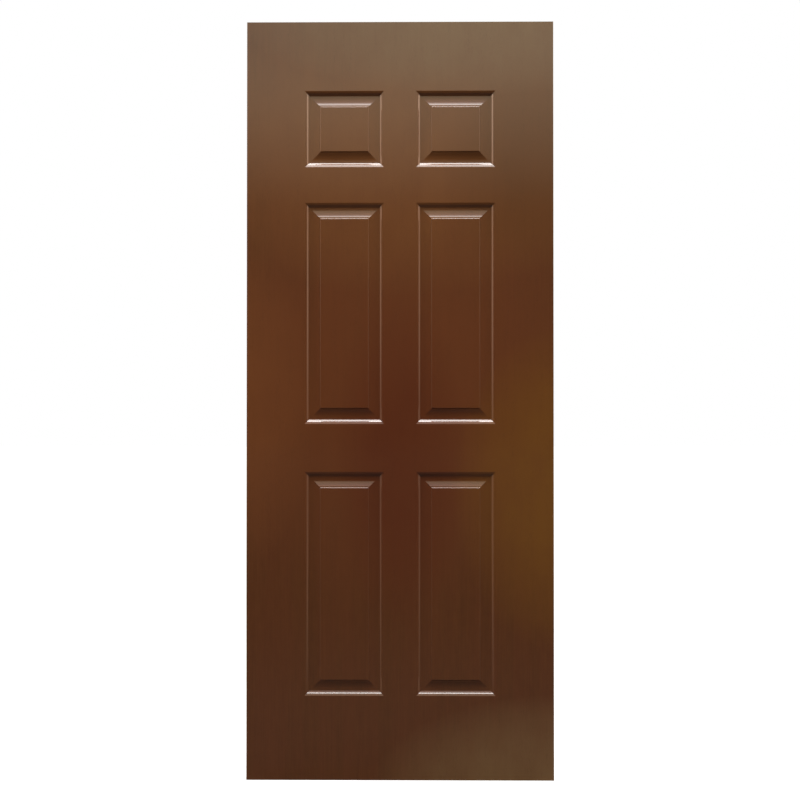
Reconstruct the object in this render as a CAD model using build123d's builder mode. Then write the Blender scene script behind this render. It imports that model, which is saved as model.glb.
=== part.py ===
from build123d import *
import os
from math import sqrt

# A six-panel interior door leaf of the hollow-core moulded kind: two pressed
# fibreboard skins glued over a softwood frame, with lock blocks and a paper core.
# Millimetres. The origin is the middle of the bottom edge, +X is the right-hand
# side seen from the front, the front face looks along -Y and +Z is up.

# Leaf
leaf_width = 826
leaf_height = 2040
leaf_thickness = 40

# Layout of the face, from its stiles inwards and from its top rail down.
# The panel width and the bottom panel height are what these leave over.
stile_face = 156.5
mullion_face = 87
top_rail_face = 187
top_panel_height = 205
frieze_rail_face = 97
middle_panel_height = 595
lock_rail_face = 130
bottom_rail_face = 226

# Pressed skin, and the moulding round each panel from its outer edge inwards
skin_thickness = 3.2
arris = 0.8
lip_run = 5.5
lip_drop = 2.2
sticking_run = 12
hollow_bow = 0.6
moulding_depth = 8.4
valley_width = 6.4
cove_run = 20
field_step = 2.6
shelf_width = 2.4
bead_run = 2.8

# Softwood frame and lock blocks
frame_stile_width = 34
frame_rail_width = 42
lock_block_width = 95
lock_block_height = 400
lock_height = 1000
vent_diameter = 5
vent_spacing = 300

# Corrugated fasteners, driven across each joint of the frame from both faces
fastener_length = 25
fastener_depth = 12
fastener_gauge = 0.6
fastener_swing = 2.4
fastener_bends = 4

# Expanded paper core
cell_rows = 14
paper_thickness = 0.8
core_clearance = 3

panel_width = (leaf_width - 2 * stile_face - mullion_face) / 2
bottom_panel_height = (
    leaf_height
    - top_rail_face
    - top_panel_height
    - frieze_rail_face
    - middle_panel_height
    - lock_rail_face
    - bottom_rail_face
)
middle_panel_z = bottom_rail_face + bottom_panel_height + lock_rail_face
top_panel_z = middle_panel_z + middle_panel_height + frieze_rail_face
panel_rows = (
    (bottom_rail_face, bottom_panel_height),
    (middle_panel_z, middle_panel_height),
    (top_panel_z, top_panel_height),
)
panel_columns = (
    -(mullion_face + panel_width) / 2,
    (mullion_face + panel_width) / 2,
)

cove_start = sticking_run + valley_width
shelf_start = cove_start + cove_run
bead_start = shelf_start + shelf_width
moulding_width = bead_start + bead_run

# The back of the pressed sheet spreads wider than the moulding on its face, so
# each ring of moulding has this much flat sheet on either side of it.
land = 2 * skin_thickness

core_thickness = leaf_thickness - 2 * skin_thickness
cavity_width = leaf_width - 2 * frame_stile_width
cavity_height = leaf_height - 2 * frame_rail_width
face_plane = Plane.XZ.offset(leaf_thickness / 2)
frame_plane = Plane.XZ.offset(core_thickness / 2)
mid_plane = Plane.XY.offset(leaf_height / 2)


def moulding_line():
    """The face of the sheet across a moulding: X runs inwards, Y out of the leaf."""
    lip = (lip_run, -lip_drop)
    hollow_foot = (sticking_run, -moulding_depth)
    cove_foot = (cove_start, -moulding_depth)
    cove_top = (shelf_start, -field_step)
    bead_foot = (bead_start, -field_step)
    field_edge = (moulding_width, 0)
    with BuildLine() as line:
        Polyline((-land, 0), (0, 0), lip)
        SagittaArc(lip, hollow_foot, -hollow_bow)
        Line(hollow_foot, cove_foot)
        TangentArc(cove_foot, cove_top, tangent=(1, 0))
        Line(cove_top, bead_foot)
        TangentArc(field_edge, bead_foot, tangent=(-1, 0))
        Line(field_edge, (moulding_width + land, 0))
    return line.line


def section_plane(bottom):
    """Square across the foot of a panel, X up the leaf and Y out of its face."""
    return Plane(
        origin=(0, -leaf_thickness / 2, bottom), x_dir=(0, 0, 1), z_dir=(1, 0, 0)
    )


def sheet_section(bottom):
    """The bent sheet across a moulding, one thickness everywhere."""
    with BuildSketch(section_plane(bottom)) as section:
        with BuildLine():
            add(moulding_line())
            offset(amount=skin_thickness, side=Side.RIGHT)
        make_face()
    return section.sketch


def moulding_ring(bottom, height):
    """The moulding round one panel: a quarter, mitred at its corner, and mirrored."""
    half_width = panel_width / 2
    with BuildLine(face_plane) as quarter:
        Polyline(
            (0, bottom), (half_width, bottom), (half_width, bottom + height / 2)
        )
    with BuildPart() as ring:
        sweep(
            sheet_section(bottom), path=quarter.line, transition=Transition.RIGHT
        )
        mirror(about=Plane.YZ)
        mirror(about=Plane.XY.offset(bottom + height / 2))
    return ring.part


# The bands that the rings of moulding take up, in the plane of the leaf
with BuildSketch() as moulding_bands:
    for bottom, height in panel_rows:
        with Locations(*((x, bottom + height / 2) for x in panel_columns)):
            Rectangle(panel_width + 2 * land, height + 2 * land)
            Rectangle(
                panel_width - 2 * (moulding_width + land),
                height - 2 * (moulding_width + land),
                mode=Mode.SUBTRACT,
            )

# Front skin: one pressed sheet, flat but for the moulding round each panel
with BuildPart() as front_skin:
    with BuildSketch(face_plane):
        with Locations((0, leaf_height / 2)):
            Rectangle(leaf_width, leaf_height)
        add(moulding_bands.sketch, mode=Mode.SUBTRACT)
    extrude(amount=-skin_thickness)
    sides = front_skin.edges().filter_by(Axis.Z).group_by(Axis.X)
    chamfer([side.sort_by(Axis.Y)[0] for side in (sides[0], sides[-1])], arris)
    with Locations(*((x, 0) for x in panel_columns)):
        add([moulding_ring(bottom, height) for bottom, height in panel_rows])
front_skin.part.label = "front_skin"

# Back skin: the same sheet from the same press, turned to face the other way
with BuildPart() as back_skin:
    mirror(front_skin.part, about=Plane.XZ)
back_skin.part.label = "back_skin"

# Corrugated fasteners: in either face, one strip of bent steel across each joint
# of the frame. Each lies in a kerf of its own size, cut by the strip itself.
with BuildSketch() as strip:
    with BuildLine():
        Polyline(
            *(
                (
                    (bend / fastener_bends - 1 / 2) * fastener_length,
                    (-1) ** bend * fastener_swing / 2,
                )
                for bend in range(fastener_bends + 1)
            )
        )
    trace(line_width=fastener_gauge)
with BuildPart() as corner_fasteners:
    with BuildSketch(frame_plane):
        with Locations((0, frame_rail_width / 2)), GridLocations(cavity_width, 0, 2, 1):
            add(strip.sketch)
    extrude(amount=-fastener_depth)
    mirror(about=Plane.XZ)
    mirror(about=mid_plane)
corner_fasteners.part.label = "corner_fasteners"

# Stiles: one softwood board down each side of the leaf, over its full height
with BuildPart() as right_stile:
    with BuildSketch(frame_plane):
        with Locations((cavity_width / 2, 0)):
            Rectangle(frame_stile_width, leaf_height, align=(Align.MIN, Align.MIN))
    extrude(amount=-core_thickness)
    add(corner_fasteners.part, mode=Mode.SUBTRACT)
right_stile.part.label = "right_stile"
with BuildPart() as left_stile:
    mirror(right_stile.part, about=Plane.YZ)
left_stile.part.label = "left_stile"

# Rails: cut in between the stiles at the foot and the head, and bored through so
# that the air in the leaf can breathe while the skins are pressed on
with BuildPart() as bottom_rail:
    with BuildSketch(frame_plane):
        Rectangle(cavity_width, frame_rail_width, align=(Align.CENTER, Align.MIN))
    extrude(amount=-core_thickness)
    with GridLocations(vent_spacing, 0, 2, 1):
        Hole(vent_diameter / 2)
    add(corner_fasteners.part, mode=Mode.SUBTRACT)
bottom_rail.part.label = "bottom_rail"
with BuildPart() as top_rail:
    mirror(bottom_rail.part, about=mid_plane)
top_rail.part.label = "top_rail"

# Lock blocks: glued to the stiles at lock height, one on each side, so that the
# leaf can be hung on either edge
with BuildPart() as right_lock_block:
    with BuildSketch(frame_plane):
        with Locations((cavity_width / 2, lock_height)):
            Rectangle(
                lock_block_width, lock_block_height, align=(Align.MAX, Align.CENTER)
            )
    extrude(amount=-core_thickness)
right_lock_block.part.label = "right_lock_block"
with BuildPart() as left_lock_block:
    mirror(right_lock_block.part, about=Plane.YZ)
left_lock_block.part.label = "left_lock_block"

# Honeycomb core: six-sided paper cells, drawn open until their rows fill the hollow
# from foot to head, in as many columns as its width takes. The mat leaves room for
# the lock blocks and is crushed flat wherever a moulding presses into it.
core_width = cavity_width - 2 * core_clearance
core_height = cavity_height - 2 * core_clearance
cell_pitch = (core_height - paper_thickness) / (cell_rows + 1 / 2)
cell_height = cell_pitch + paper_thickness
cell_width = cell_height * 2 / sqrt(3)
cell_columns = 1 + int((core_width - cell_width) / (cell_pitch * sqrt(3) / 2))


def clears_lock_blocks(cell):
    """True where a whole cell of the mat fits beside, over or under the blocks."""
    height = abs(leaf_height / 2 + cell.position.Y - lock_height)
    room_beside = cavity_width / 2 - lock_block_width - core_clearance
    room_over = height - lock_block_height / 2 - core_clearance
    return abs(cell.position.X) + cell_width / 2 <= room_beside or cell_height / 2 <= room_over


mat = HexLocations(cell_pitch / 2, cell_columns, cell_rows).local_locations
with BuildPart() as crush:
    with BuildSketch(frame_plane):
        add(moulding_bands.sketch)
    extrude(amount=-moulding_depth)
    mirror(about=Plane.XZ)
with BuildPart() as honeycomb_core:
    with BuildSketch(frame_plane):
        with Locations((0, leaf_height / 2)):
            with Locations(*filter(clears_lock_blocks, mat)):
                RegularPolygon(cell_height / 2, side_count=6, major_radius=False)
                RegularPolygon(
                    (cell_pitch - paper_thickness) / 2,
                    side_count=6,
                    major_radius=False,
                    mode=Mode.SUBTRACT,
                )
    extrude(amount=-core_thickness)
    add(crush.part, mode=Mode.SUBTRACT)
honeycomb_core.part.label = "honeycomb_core"

os.makedirs("parts", exist_ok=True)
for piece in (
    front_skin,
    back_skin,
    left_stile,
    right_stile,
    bottom_rail,
    top_rail,
    left_lock_block,
    right_lock_block,
    corner_fasteners,
    honeycomb_core,
):
    export_step(piece.part, f"parts/{piece.part.label}.step")
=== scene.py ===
from math import atan, cos, pi, radians, sin, tan

import bmesh
import bpy
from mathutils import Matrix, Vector


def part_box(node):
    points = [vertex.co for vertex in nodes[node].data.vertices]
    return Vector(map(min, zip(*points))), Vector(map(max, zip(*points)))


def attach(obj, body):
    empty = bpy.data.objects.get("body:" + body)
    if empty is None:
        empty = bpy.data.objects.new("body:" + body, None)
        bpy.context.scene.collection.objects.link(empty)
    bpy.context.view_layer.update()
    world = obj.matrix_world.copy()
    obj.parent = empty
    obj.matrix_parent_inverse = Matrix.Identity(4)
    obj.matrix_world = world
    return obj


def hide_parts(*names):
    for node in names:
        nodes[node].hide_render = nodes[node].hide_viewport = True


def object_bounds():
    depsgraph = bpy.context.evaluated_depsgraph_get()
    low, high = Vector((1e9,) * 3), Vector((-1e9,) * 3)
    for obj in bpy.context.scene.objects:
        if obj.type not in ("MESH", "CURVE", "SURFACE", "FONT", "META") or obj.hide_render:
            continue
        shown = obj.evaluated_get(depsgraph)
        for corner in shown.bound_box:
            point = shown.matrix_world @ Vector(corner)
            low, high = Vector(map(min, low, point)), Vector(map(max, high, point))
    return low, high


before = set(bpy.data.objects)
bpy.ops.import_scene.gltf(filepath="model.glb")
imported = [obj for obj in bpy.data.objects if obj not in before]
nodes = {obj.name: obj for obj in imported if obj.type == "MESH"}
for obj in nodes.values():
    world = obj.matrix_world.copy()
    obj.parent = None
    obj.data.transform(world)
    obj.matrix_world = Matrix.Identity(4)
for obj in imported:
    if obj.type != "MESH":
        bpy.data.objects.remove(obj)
cad_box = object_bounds()


# Skins: the two moulded faces of the leaf. Each is a sheet of fibreboard, pressed
# hot to the panels' form, and the front and the back come from the same press.
# They are glued over the frame and trimmed with it.
leaf_low, leaf_high = cad_box
leaf_width = leaf_high.x - leaf_low.x
leaf_height = leaf_high.z - leaf_low.z
half_height = leaf_height / 2
face_y = leaf_low.y
sheet_back_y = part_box("left_stile")[0].y
sheet = sheet_back_y - face_y

# The rounding of the long outer edges, how near an edge has to lie to be one of
# them, and how far an edge of a mitre runs off square
arris = 0.0008
arris_reach = arris / 4
mitre_skew = arris / 20
arris_segments = 3

# The layout of the face
stile_face = 0.1565
mullion_face = 0.087
panel_width = (leaf_width - 2 * stile_face - mullion_face) / 2
panel_columns = (-(mullion_face + panel_width) / 2, (mullion_face + panel_width) / 2)
bottom_rail, lock_rail, frieze_rail, top_rail = 0.226, 0.130, 0.097, 0.187
middle_panel, top_panel = 0.595, 0.205
bottom_panel = (
    leaf_height - bottom_rail - lock_rail - frieze_rail - top_rail - middle_panel - top_panel
)
panel_rows = (
    (bottom_rail, bottom_panel),
    (bottom_rail + bottom_panel + lock_rail, middle_panel),
    (leaf_height - top_rail - top_panel, top_panel),
)

# The moulding round each panel, from its outer edge inwards
lip_run, lip_drop = 0.0055, 0.0022
sticking_run = 0.012
hollow_bow = 0.0004
moulding_depth = 0.0070
valley_width = 0.0064
cove_run = 0.020
field_step = 0.0026
shelf_width = 0.0024
bead_run = 0.0028
cove_start = sticking_run + valley_width
shelf_start = cove_start + cove_run
bead_start = shelf_start + shelf_width
moulding_width = bead_start + bead_run

# How far the press softens the outer corner and the inner ones, and how finely the
# curves are drawn
outer_ease, inner_ease = 0.0012, 0.0004
ease_shares = (0, 0.2, 0.4, 0.6, 0.8, 1)
hollow_steps, cove_steps, bead_steps = 8, 12, 6


def arc_from_level(run, rise, steps):
    """Points of an arc that leaves level and climbs by rise over run."""
    turn = 2 * atan(rise / run)
    radius = run / sin(turn)
    stops = [turn * step / steps for step in range(1, steps + 1)]
    return [(radius * sin(stop), radius * (1 - cos(stop))) for stop in stops]


def bowed_line(start, end, bow, steps):
    """Points of a shallow arc from start to end that sinks by bow at its middle."""
    first, last = Vector(start), Vector(end)
    across = last - first
    aside = Vector((-across.y, across.x)).normalized()
    shares = [step / steps for step in range(steps + 1)]
    return [
        tuple(first + across * share + aside * bow * 4 * share * (1 - share))
        for share in shares
    ]


def eased_corner(before, corner, after, reach):
    """Points that round a corner off, from reach before it to reach after it."""
    here = Vector(corner)
    first = here + (Vector(before) - here).normalized() * reach
    last = here + (Vector(after) - here).normalized() * reach
    return [
        tuple(first.lerp(here, share).lerp(here.lerp(last, share), share))
        for share in ease_shares
    ]


def moulding_face():
    """The moulding from its outer edge inwards, as (run, depth) points."""
    edge = (0, 0)
    lip = (lip_run, lip_drop)
    foot = (sticking_run, moulding_depth)
    valley_end = (cove_start, moulding_depth)
    hollow = bowed_line(lip, foot, hollow_bow, hollow_steps)
    cove = arc_from_level(cove_run, moulding_depth - field_step, cove_steps)
    bead = arc_from_level(bead_run, field_step, bead_steps)
    points = eased_corner((-lip_run, 0), edge, lip, outer_ease)
    points += eased_corner(edge, lip, hollow[1], inner_ease)
    points += hollow[2:-1]
    points += eased_corner(hollow[-2], foot, valley_end, inner_ease)
    points.append(valley_end)
    points += [(cove_start + run, moulding_depth - rise) for run, rise in cove]
    points.append((bead_start, field_step))
    points += [(moulding_width - run, drop) for run, drop in reversed(bead[:-1])]
    points.append((moulding_width, 0))
    return points


def moulding_back():
    """The plainer form of the same moulding on the hidden back of the sheet."""
    return [
        (-sheet, 0),
        (sticking_run / 2, moulding_depth),
        (cove_start + 2 * sheet, moulding_depth),
        (bead_start + sheet, 0),
    ]


def add_moulded_side(name, y, points):
    """One side of the sheet: a flat plane, with the moulding let in round each panel."""
    bpy.ops.object.select_all(action="DESELECT")
    bpy.ops.mesh.primitive_plane_add(
        size=1, location=(0, y, half_height), rotation=(pi / 2, 0, 0)
    )
    side = bpy.context.object
    side.name = name
    side.scale = (leaf_width, leaf_height, 1)
    bpy.ops.object.transform_apply(location=True, rotation=True, scale=True)
    bpy.ops.object.mode_set(mode="EDIT")
    start = points[0][0]
    half = panel_width / 2 - start
    for x in panel_columns:
        for cut in (x - half, x + half):
            bpy.ops.mesh.select_all(action="SELECT")
            bpy.ops.mesh.bisect(plane_co=(cut, 0, 0), plane_no=(1, 0, 0))
    for bottom, height in panel_rows:
        for cut in (bottom + start, bottom + height - start):
            bpy.ops.mesh.select_all(action="SELECT")
            bpy.ops.mesh.bisect(plane_co=(0, 0, cut), plane_no=(0, 0, 1))
    bpy.ops.mesh.select_mode(type="FACE")
    bpy.ops.mesh.select_all(action="DESELECT")
    mesh = bmesh.from_edit_mesh(side.data)
    for face in mesh.faces:
        middle = face.calc_center_median()
        in_column = any(abs(middle.x - x) < half for x in panel_columns)
        in_row = any(bottom < middle.z < bottom + height for bottom, height in panel_rows)
        face.select_set(in_column and in_row)
    bmesh.update_edit_mesh(side.data)
    for (run, depth), (next_run, next_depth) in zip(points, points[1:]):
        bpy.ops.mesh.inset(thickness=next_run - run, depth=depth - next_depth)
    bpy.ops.object.mode_set(mode="OBJECT")
    return side


# The face and the back of the sheet are joined, and closed round their rims
front = add_moulded_side("pressed_front_skin", face_y, moulding_face())
inside = add_moulded_side("skin_inside", sheet_back_y, moulding_back())
bpy.ops.object.select_all(action="DESELECT")
inside.select_set(True)
front.select_set(True)
bpy.context.view_layer.objects.active = front
bpy.ops.object.join()
bpy.ops.object.mode_set(mode="EDIT")
bpy.ops.mesh.select_mode(type="EDGE")
bpy.ops.mesh.select_all(action="DESELECT")
bpy.ops.mesh.select_non_manifold()
bpy.ops.mesh.bridge_edge_loops()
bpy.ops.mesh.select_all(action="SELECT")
bpy.ops.mesh.normals_make_consistent(inside=False)

# The long outer edges are rounded, and the mitres stay sharp, so that each face of
# a moulding is lit as one plane up to its corner
bpy.ops.mesh.select_all(action="DESELECT")
mesh = bmesh.from_edit_mesh(front.data)
for edge in mesh.edges:
    edge.select_set(
        all(
            abs(abs(end.co.x) - leaf_width / 2) < arris_reach
            and end.co.y < face_y + arris_reach
            for end in edge.verts
        )
    )
bmesh.update_edit_mesh(front.data)
bpy.ops.mesh.bevel(offset=arris, segments=arris_segments, affect="EDGES")
mesh = bmesh.from_edit_mesh(front.data)
for edge in mesh.edges:
    run = edge.verts[1].co - edge.verts[0].co
    edge.select_set(min(abs(run.x), abs(run.z)) > mitre_skew)
bpy.ops.mesh.mark_sharp()
bpy.ops.object.mode_set(mode="OBJECT")
bpy.ops.object.shade_smooth_by_angle(angle=radians(28))
bpy.ops.object.modifier_add(type="WEIGHTED_NORMAL")
front.modifiers[-1].keep_sharp = True
bpy.ops.object.modifier_apply(modifier=front.modifiers[-1].name)

# The back skin is a copy, turned half round
bpy.ops.object.select_all(action="DESELECT")
front.select_set(True)
bpy.ops.object.duplicate()
back = bpy.context.object
back.name = "pressed_back_skin"
bpy.ops.transform.rotate(value=pi, orient_axis="Z", center_override=(0, 0, 0))
bpy.ops.object.transform_apply(location=True, rotation=True, scale=True)
for skin, node in ((front, "front_skin"), (back, "back_skin")):
    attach(skin, "root")
    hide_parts(node)


# Stain and lacquer: the finish of the skins. A dark brown stain settles in the
# pressed grain as bands, upright streaks and the dark ticks of the pores, and a
# clear satin lacquer is sprayed over it. The sawn ends of the sheet stay raw.
class Wire:
    """A socket of a material's nodes, on which sums are written as Python sums."""

    def __init__(self, tree, socket=None):
        self.tree = tree
        self.socket = socket

    def node(self, kind, settings=None, inputs=None, output=0):
        """Adds a node: its settings first, then a value or a wire for each socket."""
        node = self.tree.nodes.new(kind)
        for name, value in (settings or {}).items():
            if name == "stops":
                elements = node.color_ramp.elements
                while len(elements) < len(value):
                    elements.new(1.0)
                for element, (place, level) in zip(elements, value):
                    colour = level if isinstance(level, tuple) else (level, level, level)
                    element.position = place
                    element.color = (*colour, 1)
            else:
                setattr(node, name, value)
        for key, value in (inputs or {}).items():
            if isinstance(value, Wire):
                self.tree.links.new(value.socket, node.inputs[key])
            else:
                node.inputs[key].default_value = value
        return Wire(self.tree, node.outputs[output])

    def math(self, operation, first, second=0.0):
        """One sum of two numbers or wires."""
        return self.node("ShaderNodeMath", {"operation": operation}, {0: first, 1: second})

    def __add__(self, other):
        return self.math("ADD", self, other)

    def __radd__(self, other):
        return self.math("ADD", other, self)

    def __sub__(self, other):
        return self.math("SUBTRACT", self, other)

    def __rsub__(self, other):
        return self.math("SUBTRACT", other, self)

    def __mul__(self, other):
        return self.math("MULTIPLY", self, other)

    def __rmul__(self, other):
        return self.math("MULTIPLY", other, self)

    def noise(self, stretch, detail=2.0, roughness=0.5, distortion=0.0):
        """Noise on this place in space, one feature to each stretch of metres."""
        scale = tuple(1 / length for length in stretch)
        place = self.node("ShaderNodeMapping", inputs={"Vector": self, "Scale": scale})
        return self.node(
            "ShaderNodeTexNoise",
            inputs={
                "Vector": place,
                "Scale": 1.0,
                "Detail": detail,
                "Roughness": roughness,
                "Distortion": distortion,
            },
        )

    def levels(self, *stops):
        """Maps this value through (place, level) stops."""
        return self.node("ShaderNodeValToRGB", {"stops": stops}, {"Fac": self})

    def blend(self, first, second):
        """A colour from first to second as this value goes from 0 to 1."""
        return self.node(
            "ShaderNodeMix",
            {"data_type": "RGBA"},
            {"Factor": self, 6: first, 7: second},
            output=2,
        )

    def part(self, axis):
        """One of the three coordinates of this place."""
        return self.node("ShaderNodeSeparateXYZ", inputs={0: self}, output=axis)

    def near(self, across, up, reach, rise):
        """1 at a point of the face, fading to 0 round an oval of this reach and rise."""
        aside = (self.part(0) - across) * (1 / reach)
        above = (self.part(2) - up) * (1 / rise)
        return (1 - aside * aside - above * above).levels((0.0, 0.0), (1.0, 1.0))

    def beyond(self, limit):
        """1 where this value is over the limit, else 0."""
        return self.math("GREATER_THAN", self, limit)

    def size(self):
        """This value without its sign."""
        return self.math("ABSOLUTE", self)

    def relief(self, strength, distance):
        """The bump of a surface whose height is this value."""
        return self.node(
            "ShaderNodeBump",
            inputs={"Height": self, "Strength": strength, "Distance": distance},
        )


def start_material(name):
    """A new material, the wire of its object's own coordinates, and its shader."""
    material = bpy.data.materials.new(name)
    material.use_nodes = True
    tree = material.node_tree
    place = Wire(tree).node("ShaderNodeTexCoord", output="Object")
    return material, place, tree.nodes["Principled BSDF"]


def feed(node, name, wire):
    """Joins a wire to one of a node's inputs."""
    wire.tree.links.new(wire.socket, node.inputs[name])


def give(objects, material):
    """Makes this the only material of each object."""
    for thing in objects:
        thing.data.materials.clear()
        thing.data.materials.append(material)


# Soft patches on the leaf: the place and half size of each, and its tint. The middle is
# redder and darker, and the sides are yellower. Over the head and at the right foot a
# greyer patch is a painted sheen, and a lighter band over the upper face is painted light.
tint_and_painted_light_patches = (
    # across, up, reach, rise, tint
    (0.00, 1.02, 0.60, 0.56, (0.109, 0.0325, 0.0104, 1)),
    (0.00, 0.86, 0.18, 0.46, (0.090, 0.0225, 0.0076, 1)),
    (0.44, 0.78, 0.30, 0.44, (0.136, 0.0530, 0.0098, 1)),
    (-0.44, 1.00, 0.22, 0.44, (0.132, 0.0430, 0.0136, 1)),
    # Painted light: the upper face lighter, as if lit more strongly from above
    (0.00, 1.68, 0.66, 0.38, (0.133, 0.0490, 0.0150, 1)),
    (0.38, 1.66, 0.28, 0.30, (0.098, 0.0355, 0.0098, 1)),
    # Painted sheen: the head greyer and greener, a painted reflection of a bright room
    (0.20, 2.08, 0.66, 0.24, (0.140, 0.0760, 0.0370, 1)),
    # Painted sheen: the right foot paler and greyer, a painted reflection
    (0.42, -0.02, 0.50, 0.25, (0.150, 0.0790, 0.0345, 1)),
)


def stain(place):
    """The colour, roughness and relief of the skins' finish at a place; its colour holds
    painted sheen and painted light.
    """
    bands = place.noise((0.030, 0.030, 0.9), detail=3, distortion=0.4)
    streaks = place.noise((0.0024, 0.0024, 0.16), detail=4, roughness=0.62)
    hairs = place.noise((0.0007, 0.0007, 0.05), detail=2)
    mottle = place.noise((0.016, 0.016, 0.040), detail=4, roughness=0.65)
    pores = place.noise((0.00042, 0.00042, 0.011), detail=1).levels((0.60, 0.0), (0.70, 1.0))
    pore_zones = place.noise((0.012, 0.012, 0.22), detail=2).levels((0.42, 0.0), (0.62, 1.0))
    ticks = pores * pore_zones
    tone = streaks * 0.40 + hairs * 0.15 + bands * 0.20 + mottle * 0.25
    ground = tone.levels(
        (0.30, (0.072, 0.0238, 0.0076)),
        (0.50, (0.091, 0.0303, 0.0097)),
        (0.70, (0.112, 0.0385, 0.0127)),
    )
    redness = bands.levels((0.40, 0.0), (0.60, 1.0))
    ground = (redness * 0.35).blend(ground, (0.092, 0.0262, 0.0095, 1))
    drift = place.noise((0.07, 0.07, 0.12), detail=4, roughness=0.6)
    # The patches lay a drifting tint over the ground, and with it a painted sheen and
    # painted light
    for across, up, reach, rise, tint in tint_and_painted_light_patches:
        patch = place.near(across, up, reach, rise) * (0.5 + drift)
        ground = patch.blend(ground, tint)
    colour = (ticks * 0.35).blend(ground, (0.040, 0.0145, 0.0060, 1))
    sheen = 0.34 + streaks * 0.10 + ticks * 0.12
    height = streaks * 0.5 + hairs * 0.25 - ticks
    return colour, sheen, height


# A place this near to the plane of a cut end or a side lies on it
on_plane = 0.0002
raw_roughness = 0.4
finish, place, shader = start_material("stained_skin_painted_sheen")
colour, sheen, height = stain(place)
cut_end = (place.part(2) - half_height).size().beyond(half_height - on_plane)
fibre = place.noise((0.0009, 0.0009, 0.0009), detail=3)
raw_board = fibre.blend((0.16, 0.095, 0.052, 1), (0.30, 0.195, 0.115, 1))
feed(shader, "Base Color", cut_end.blend(colour, raw_board))
feed(shader, "Roughness", sheen + cut_end * raw_roughness)
feed(shader, "Coat Weight", 1 - cut_end)
feed(shader, "Normal", height.relief(strength=0.1, distance=0.0003))
shader.inputs["Coat Roughness"].default_value = 0.08
shader.inputs["Coat IOR"].default_value = 1.6
shader.inputs["Specular IOR Level"].default_value = 0.1
give((front, back), finish)


# Stiles and rails: softwood boards that close the leaf's four edges, pinned at the
# corners and glued between the skins. The long edges are stained like the skins
# once the leaf is trimmed to width, and the top and bottom are left bare.
planed_roughness = 0.62


def pine(place, along):
    """The colour and height of planed pine with its grain along one axis."""
    stretch = [0.006, 0.006, 0.006]
    stretch[along] = 0.30
    fine = [0.0008, 0.0008, 0.0008]
    fine[along] = 0.04
    rings = place.noise(stretch, detail=3, distortion=0.6).levels((0.35, 0.0), (0.62, 1.0))
    fibres = place.noise(fine, detail=2)
    ground = rings.blend((0.66, 0.47, 0.27, 1), (0.50, 0.29, 0.13, 1))
    colour = (fibres * 0.35).blend(ground, (0.72, 0.56, 0.36, 1))
    return colour, rings * 0.5 + fibres * 0.5


def timber_material(name, along):
    """Bare pine, and the skins' stain on a face that closes a side of the leaf."""
    material, place, shader = start_material(name)
    bare, bare_height = pine(place, along)
    # The stained side faces take the skins' colour, with its painted sheen and painted light
    colour, sheen, height = stain(place)
    side = place.part(0).size().beyond(leaf_width / 2 - on_plane)
    feed(shader, "Base Color", side.blend(bare, colour))
    feed(shader, "Roughness", planed_roughness - side * planed_roughness + side * sheen)
    height = bare_height - side * bare_height + side * height
    feed(shader, "Normal", height.relief(strength=0.3, distance=0.0003))
    return material


upright_pine = timber_material("upright_pine", 2)
level_pine = timber_material("level_pine", 0)
give((nodes["left_stile"], nodes["right_stile"]), upright_pine)
give((nodes["top_rail"], nodes["bottom_rail"]), level_pine)


# Lock blocks: short softwood boards glued to the inside of the stiles, one on each
# side. They are the solid timber of the leaf at the height where a hand reaches it.
give((nodes["left_lock_block"], nodes["right_lock_block"]), upright_pine)


# Honeycomb core: brown kraft paper, glued in ribbons and drawn open into cells. It
# holds the skins apart and is crushed where the mouldings press in.
kraft, place, shader = start_material("kraft_paper")
pulp = place.noise((0.002, 0.002, 0.010), detail=4)
feed(shader, "Base Color", pulp.blend((0.40, 0.26, 0.14, 1), (0.56, 0.41, 0.25, 1)))
feed(shader, "Normal", pulp.relief(strength=0.2, distance=0.0002))
shader.inputs["Roughness"].default_value = 0.85
give((nodes["honeycomb_core"],), kraft)


# Corrugated fasteners: short strips of rolled steel, bent to a zigzag and driven
# across the corner joints of the frame from both faces.
steel, place, shader = start_material("strip_steel")
rolling = place.noise((0.0004, 0.006, 0.0004), detail=3)
feed(shader, "Base Color", rolling.blend((0.42, 0.42, 0.43, 1), (0.60, 0.60, 0.61, 1)))
feed(shader, "Roughness", 0.30 + rolling * 0.2)
shader.inputs["Metallic"].default_value = 1.0
give((nodes["corner_fasteners"],), steel)


# Floor: painted. It looks white to the camera alone. The lacquer mirrors a dark floor,
# with a warm glow painted on it beside the leaf on both sides, as pools of window light.
floor_size = 60
floor_grey, floor_glow = (0.30, 0.30, 0.30, 1), 0.75
dark_grey = (0.04, 0.04, 0.04, 1)
window_light, window_strength = (1.0, 0.62, 0.42, 1), 0.9
window_slant = 1.6
bpy.ops.object.select_all(action="DESELECT")
bpy.ops.mesh.primitive_plane_add(size=floor_size, location=(0, 0, 0))
floor = bpy.context.object
floor.name = "studio_floor"
paint, place, shader = start_material("floor_paint")
seen = place.node("ShaderNodeLightPath", output="Is Camera Ray")
shade = seen.node("ShaderNodeBsdfDiffuse", inputs={"Color": floor_grey})
glow = seen.node("ShaderNodeEmission", inputs={"Strength": floor_glow})
lit = seen.node("ShaderNodeAddShader", inputs={0: shade, 1: glow})
dark = seen.node("ShaderNodeBsdfDiffuse", inputs={"Color": dark_grey})
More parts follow.
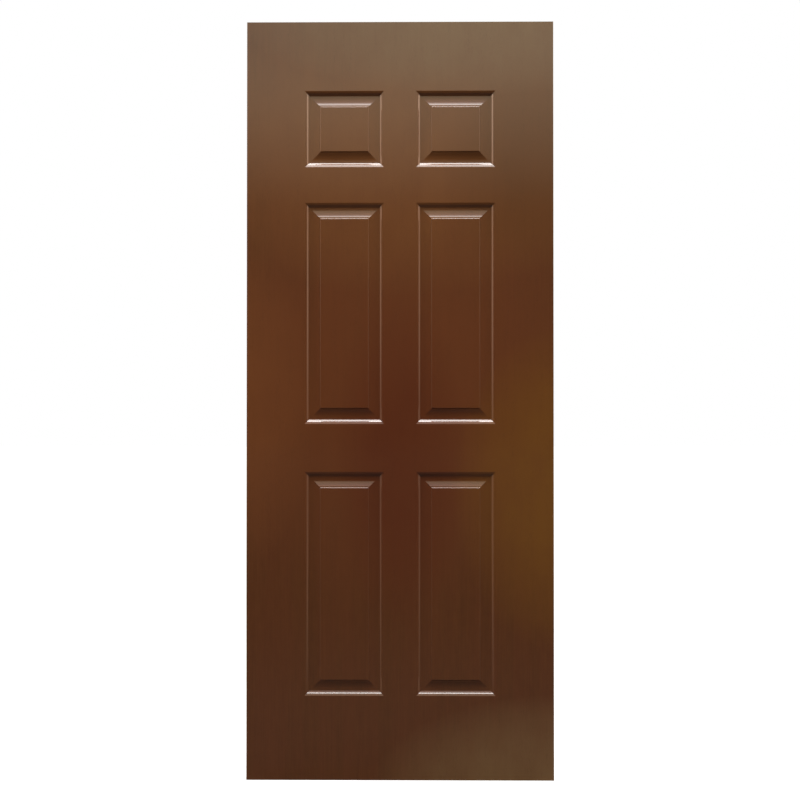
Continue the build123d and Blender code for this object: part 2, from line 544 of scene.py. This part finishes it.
# Painted light: a warm glow beside the leaf, standing in for pools of window light
painted_window_pool = seen.node(
    "ShaderNodeEmission", inputs={"Color": window_light, "Strength": window_strength}
)
sideways = place.part(0).size() - place.part(1).size() * window_slant
painted_pool_mask = sideways.levels((0.3, 0.0), (0.8, 1.0))
mirrored = seen.node("ShaderNodeMixShader", inputs={"Fac": painted_pool_mask, 1: dark, 2: painted_window_pool})
both = seen.node("ShaderNodeMixShader", inputs={"Fac": seen, 1: mirrored, 2: lit})
feed(paint.node_tree.nodes["Material Output"], "Surface", both)
floor.data.materials.append(paint)


# The room that the lacquer mirrors: dim below eye level, a bright sky that fades in
# a little way over it, and a warm window on each side. The camera sees plain white.
sky_light = 1.28
window_share = 0.9
world = bpy.data.worlds.new("surround")
bpy.context.scene.world = world
world.use_nodes = True
direction = Wire(world.node_tree).node("ShaderNodeTexCoord", output="Generated")
seen = direction.node("ShaderNodeLightPath", output="Is Camera Ray")
height = direction.part(2)
room = height.levels(
    (0.17, (0.01, 0.01, 0.01)), (0.26, (0.87, 0.83, 0.60)), (0.70, (0.90, 0.90, 0.85))
)
windows = height.levels(
    (0.00, (0.80, 0.52, 0.36)),
    (0.08, (1.7, 1.10, 0.75)),
    (0.17, (2.0, 1.27, 0.87)),
    (0.25, (4.0, 2.95, 2.2)),
    (0.33, (4.0, 2.95, 2.2)),
    (0.45, (0.9, 0.9, 0.85)),
)
aside = direction.part(0).size().levels((0.84, 0.0), (0.93, 1.0))
around = (aside * window_share).blend(room, windows)
sky = world.node_tree.nodes["Background"]
feed(sky, "Color", seen.blend(around, (1, 1, 1, 1)))
feed(sky, "Strength", seen * (1 - sky_light) + sky_light)


# A wide soft panel over the leaf, whose light falls mostly straight down. It grazes
# the faces and shines back from each slope of the mouldings that looks up, and it
# leaves the bare top edge alone.
overhead_width, overhead_depth = 2.6, 2.2
overhead_height = 2.65
half_spread = radians(48)
radiance = 15.0
lamp = bpy.data.lights.new("overhead_panel", "AREA")
lamp.shape = "RECTANGLE"
lamp.size, lamp.size_y = overhead_width, overhead_depth
lamp.spread = 2 * half_spread
focus = tan(half_spread) / (tan(half_spread) - half_spread)
lamp.energy = radiance * pi * overhead_width * overhead_depth / focus
overhead = bpy.data.objects.new("overhead_panel", lamp)
bpy.context.scene.collection.objects.link(overhead)
overhead.location = (0, 0, overhead_height)
overhead.visible_camera = False
lit_by_panel = bpy.data.collections.new("lit_by_panel")
for thing in (front, back, floor):
    lit_by_panel.objects.link(thing)
overhead.light_linking.receiver_collection = lit_by_panel


# The camera stands square to the leaf, a little right of and below its middle, and
# the leaf fills the frame's height from the 20th pixel to the 779th.
view_distance = 3.2
camera_right, camera_drop = 0.029, 0.03
leaf_pixels, frame_pixels = 758.5, 800
camera = bpy.data.objects.new("camera", bpy.data.cameras.new("camera"))
bpy.context.scene.collection.objects.link(camera)
camera.location = (camera_right, face_y - view_distance, half_height - camera_drop)
look = Vector((0, face_y, half_height)) - camera.location
camera.rotation_euler = look.to_track_quat("-Z", "Y").to_euler()
frame_height = leaf_height * frame_pixels / leaf_pixels
camera.data.lens = camera.data.sensor_width * view_distance / frame_height
bpy.context.scene.camera = camera
bpy.context.scene.view_settings.view_transform = "Standard"
